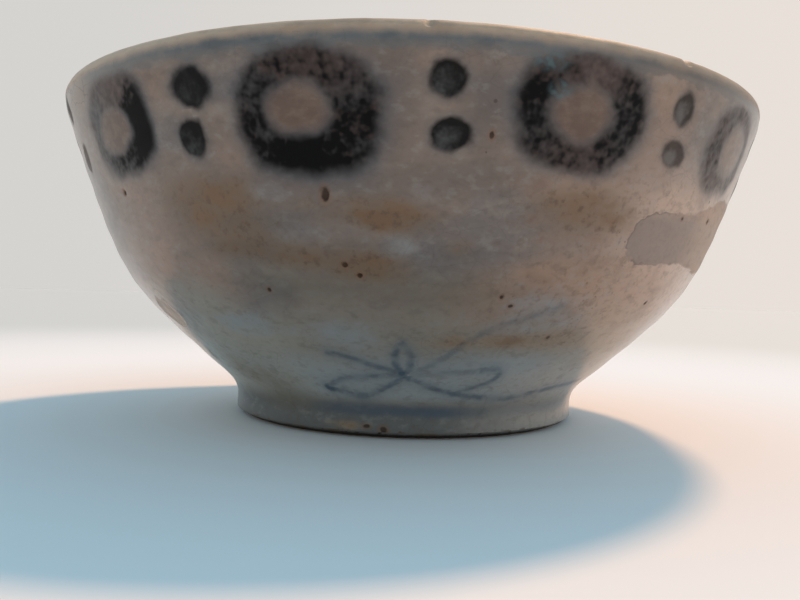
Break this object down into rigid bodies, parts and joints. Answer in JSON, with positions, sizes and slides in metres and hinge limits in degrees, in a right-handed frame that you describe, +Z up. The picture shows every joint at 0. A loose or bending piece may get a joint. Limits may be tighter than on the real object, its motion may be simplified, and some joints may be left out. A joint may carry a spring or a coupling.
{
  "type": "porcelain bowl",
  "caption": "Footed porcelain bowl with flared wall, glazed inside and out, painted under the lip with broad rings and pairs of dots, and with a small brushed spray above the foot.",
  "frame": {"origin": "on the surface it stands on, at the middle of the foot ring", "axes": "+Z up along the bowl's axis, with the painted spray facing -Y"},
  "size_m": [0.1504, 0.1504, 0.066],
  "materials": {
    "porcelain": "bare fired clay, warm off-white, worn smooth at the lip",
    "clear_glaze": "semi-gloss glaze, pinkish grey, clouded with rust and blue-white",
    "iron_pigment": "mottled blue-black to brown pigment, half matt",
    "cobalt_pigment": "thin grey-blue brush line under gloss",
    "cobalt_wash": "pale grey-blue wash under gloss"
  },
  "bodies": {
    "root": {"porcelain_body": "porcelain", "outer_glaze": "clear_glaze", "inner_glaze": "clear_glaze", "foot_well_glaze": "clear_glaze", "painted_ring_01": "iron_pigment", "upper_dot_01": "iron_pigment", "lower_dot_01": "iron_pigment", "painted_ring_02": "iron_pigment", "upper_dot_02": "iron_pigment", "lower_dot_02": "iron_pigment", "painted_ring_03": "iron_pigment", "upper_dot_03": "iron_pigment", "lower_dot_03": "iron_pigment", "painted_ring_04": "iron_pigment", "upper_dot_04": "iron_pigment", "lower_dot_04": "iron_pigment", "painted_ring_05": "iron_pigment", "upper_dot_05": "iron_pigment", "lower_dot_05": "iron_pigment", "painted_ring_06": "iron_pigment", "upper_dot_06": "iron_pigment", "lower_dot_06": "iron_pigment", "painted_ring_07": "iron_pigment", "upper_dot_07": "iron_pigment", "lower_dot_07": "iron_pigment", "painted_ring_08": "iron_pigment", "upper_dot_08": "iron_pigment", "lower_dot_08": "iron_pigment", "painted_ring_09": "iron_pigment", "upper_dot_09": "iron_pigment", "lower_dot_09": "iron_pigment", "painted_ring_10": "iron_pigment", "upper_dot_10": "iron_pigment", "lower_dot_10": "iron_pigment", "painted_ring_11": "iron_pigment", "upper_dot_11": "iron_pigment", "lower_dot_11": "iron_pigment", "painted_spray": "cobalt_pigment", "lip_band": "cobalt_wash", "foot_line": "cobalt_wash"}
  },
  "joints": []
}
